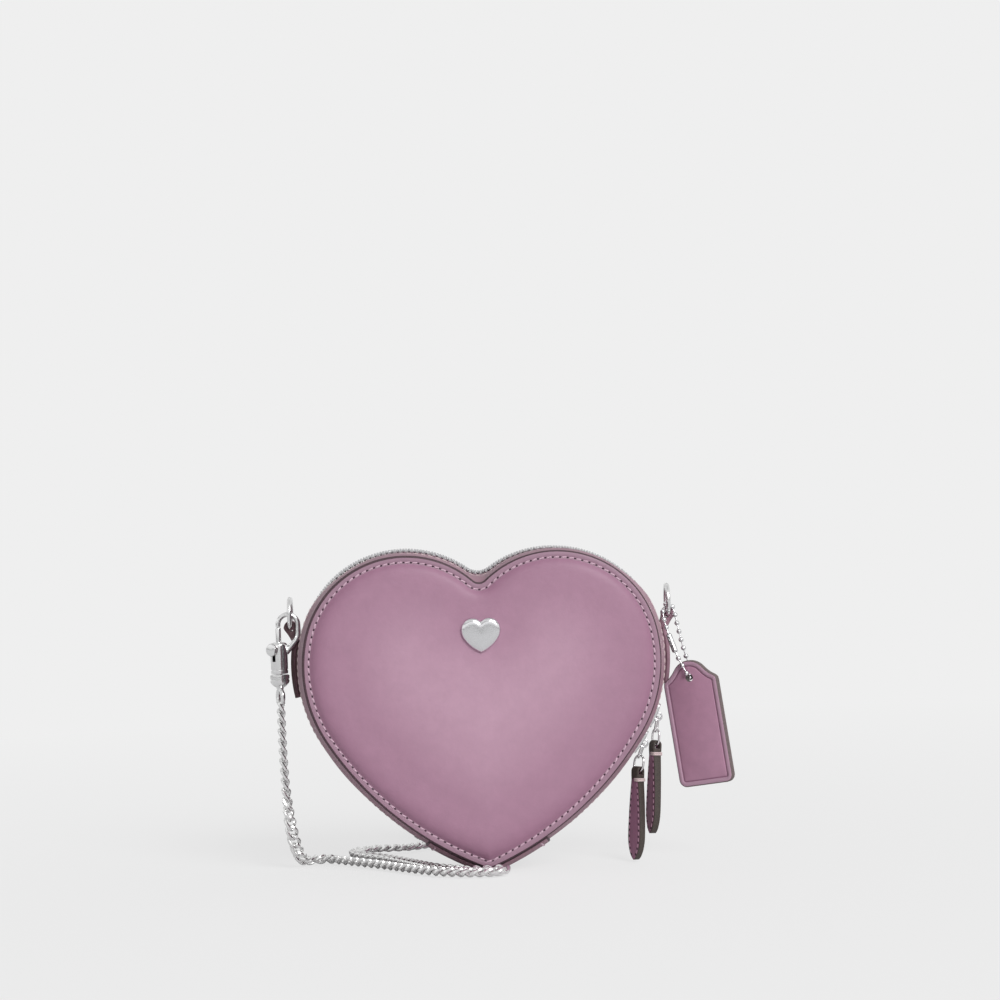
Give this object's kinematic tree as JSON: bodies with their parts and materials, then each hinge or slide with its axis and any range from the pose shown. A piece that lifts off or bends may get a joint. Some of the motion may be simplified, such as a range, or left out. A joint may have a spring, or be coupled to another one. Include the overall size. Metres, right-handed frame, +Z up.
{
  "type": "heart shaped purse",
  "caption": "Small zip-round crossbody purse in the shape of a heart, with ring tabs, a snap hook chain strap, a bead chain with a hang tag and leather zip pulls.",
  "frame": {"origin": "middle of the flattened base patch, on the surface the purse stands on", "axes": "+Z up, +X to the right as seen from the front, the front panel faces -Y"},
  "size_m": [0.2154, 0.2214, 0.1481],
  "materials": {
    "panel_leather": "smooth calf, satin",
    "gusset_leather": "smooth calf, satin",
    "zip_tape": "woven tape",
    "lining": "woven",
    "board": "matt",
    "silver_metal": "polished",
    "chain_metal": "polished",
    "zip_metal": "polished",
    "emblem_metal": "polished",
    "bead_metal": "polished",
    "spring_steel": "bare"
  },
  "bodies": {
    "case_back": {"back_panel": "panel_leather", "back_stiffener": "board", "back_gusset": "gusset_leather", "back_zip_tape": "zip_tape", "back_zip_teeth": "zip_metal", "back_end_stops": "zip_metal", "back_lining": "lining", "slip_pocket": "lining", "base_patch": "gusset_leather", "left_ring_tab": "gusset_leather", "right_ring_tab": "gusset_leather", "chain": "chain_metal", "chain_coil": "chain_metal", "chain_end": "chain_metal", "far_hook_frame": "silver_metal", "far_hook_spring": "spring_steel"},
    "case_front": {"front_panel": "panel_leather", "front_stiffener": "board", "front_gusset": "gusset_leather", "front_zip_tape": "zip_tape", "front_zip_teeth": "zip_metal", "front_end_stops": "zip_metal", "front_lining": "lining", "base_patch_front": "gusset_leather", "heart_emblem": "emblem_metal", "emblem_backplate": "emblem_metal"},
    "left_ring": {"left_ring": "silver_metal"},
    "right_ring": {"right_ring": "silver_metal"},
    "upper_slider": {"upper_slider": "zip_metal"},
    "upper_link": {"upper_link": "silver_metal"},
    "upper_pull": {"upper_jump_ring": "silver_metal", "upper_pull": "panel_leather"},
    "lower_slider": {"lower_slider": "zip_metal"},
    "lower_link": {"lower_link": "silver_metal"},
    "lower_pull": {"lower_jump_ring": "silver_metal", "lower_pull": "panel_leather"},
    "near_hook": {"near_hook_frame": "silver_metal", "near_hook_spring": "spring_steel"},
    "near_hook_bolt": {"near_hook_bolt": "silver_metal"},
    "near_hook_swivel": {"near_hook_swivel": "silver_metal"},
    "far_hook_bolt": {"far_hook_bolt": "silver_metal"},
    "far_hook_swivel": {"far_hook_swivel": "silver_metal"},
    "bead_loop": {"bead_chain": "bead_metal", "bead_connector": "bead_metal"},
    "hang_tag": {"hang_tag": "panel_leather"}
  },
  "joints": [
    {"name": "mouth_open", "type": "hinge", "parent": "case_back", "child": "case_front", "pos_m": [0, -0.0245, 0], "axis": [1, 0, 0], "range_deg": [0, 35]},
    {"name": "upper_slider_travel", "type": "hinge", "parent": "case_back", "child": "upper_slider", "pos_m": [0.0188, 0, 0.09486], "axis": [0, -1, 0], "range_deg": [-1, 7]},
    {"name": "lower_slider_travel", "type": "hinge", "parent": "case_back", "child": "lower_slider", "pos_m": [-0.05498, 0, 0.14096], "axis": [0, -1, 0], "range_deg": [-13, 0.5]},
    {"name": "upper_link_swing", "type": "hinge", "parent": "upper_slider", "child": "upper_link", "pos_m": [0.08082, 0, 0.0666], "axis": [0, -1, 0], "range_deg": [0, 20]},
    {"name": "upper_pull_swing", "type": "hinge", "parent": "upper_link", "child": "upper_pull", "pos_m": [0.07997, 0.00024, 0.06158], "axis": [-1, 0, 0], "range_deg": [0, 16]},
    {"name": "lower_link_swing", "type": "hinge", "parent": "lower_slider", "child": "lower_link", "pos_m": [0.0738, 0, 0.05443], "axis": [0, -1, 0], "range_deg": [0, 3]},
    {"name": "lower_pull_swing", "type": "hinge", "parent": "lower_link", "child": "lower_pull", "pos_m": [0.07204, 0.0005, 0.04967], "axis": [-1, 0, 0], "range_deg": [0, 18]},
    {"name": "left_ring_swing", "type": "hinge", "parent": "case_back", "child": "left_ring", "pos_m": [-0.0882, 0.0135, 0.1136], "axis": [0, 1, 0], "range_deg": [-20, 20]},
    {"name": "right_ring_swing", "type": "hinge", "parent": "case_back", "child": "right_ring", "pos_m": [0.0882, 0.0135, 0.1136], "axis": [0, -1, 0], "range_deg": [0, 35]},
    {"name": "near_hook_swing", "type": "hinge", "parent": "case_back", "child": "near_hook", "pos_m": [-0.0882, 0.0093, 0.1155], "axis": [0, 1, 0], "range_deg": [0, 60]},
    {"name": "near_bolt_pull", "type": "slide", "parent": "near_hook", "child": "near_hook_bolt", "axis": [0, 0, -1], "range_m": [0, 0.0045], "stiffness_N_per_m": 300, "springref_m": -0.002, "deforming": ["near_hook_spring"]},
    {"name": "near_swivel_spin", "type": "hinge", "parent": "near_hook", "child": "near_hook_swivel", "pos_m": [-0.0938, 0.0093, 0.0924], "axis": [0, 0, 1], "continuous": true},
    {"name": "far_bolt_pull", "type": "slide", "parent": "case_back", "child": "far_hook_bolt", "axis": [-1, 0, 0], "range_m": [0, 0.0045], "stiffness_N_per_m": 300, "springref_m": -0.002},
    {"name": "far_swivel_spin", "type": "hinge", "parent": "case_back", "child": "far_hook_swivel", "pos_m": [0.0094, 0.176, 0.0045], "axis": [1, 0, 0], "continuous": true},
    {"name": "bead_chain_swing", "type": "hinge", "parent": "right_ring", "child": "bead_loop", "pos_m": [0.0882, 0.0095, 0.115], "axis": [0, -1, 0], "range_deg": [0, 16]},
    {"name": "hang_tag_swing", "type": "hinge", "parent": "bead_loop", "child": "hang_tag", "pos_m": [0.0968, 0.001, 0.084], "axis": [-0.4695, -0.8829, 0], "range_deg": [-3, 12]}
  ]
}
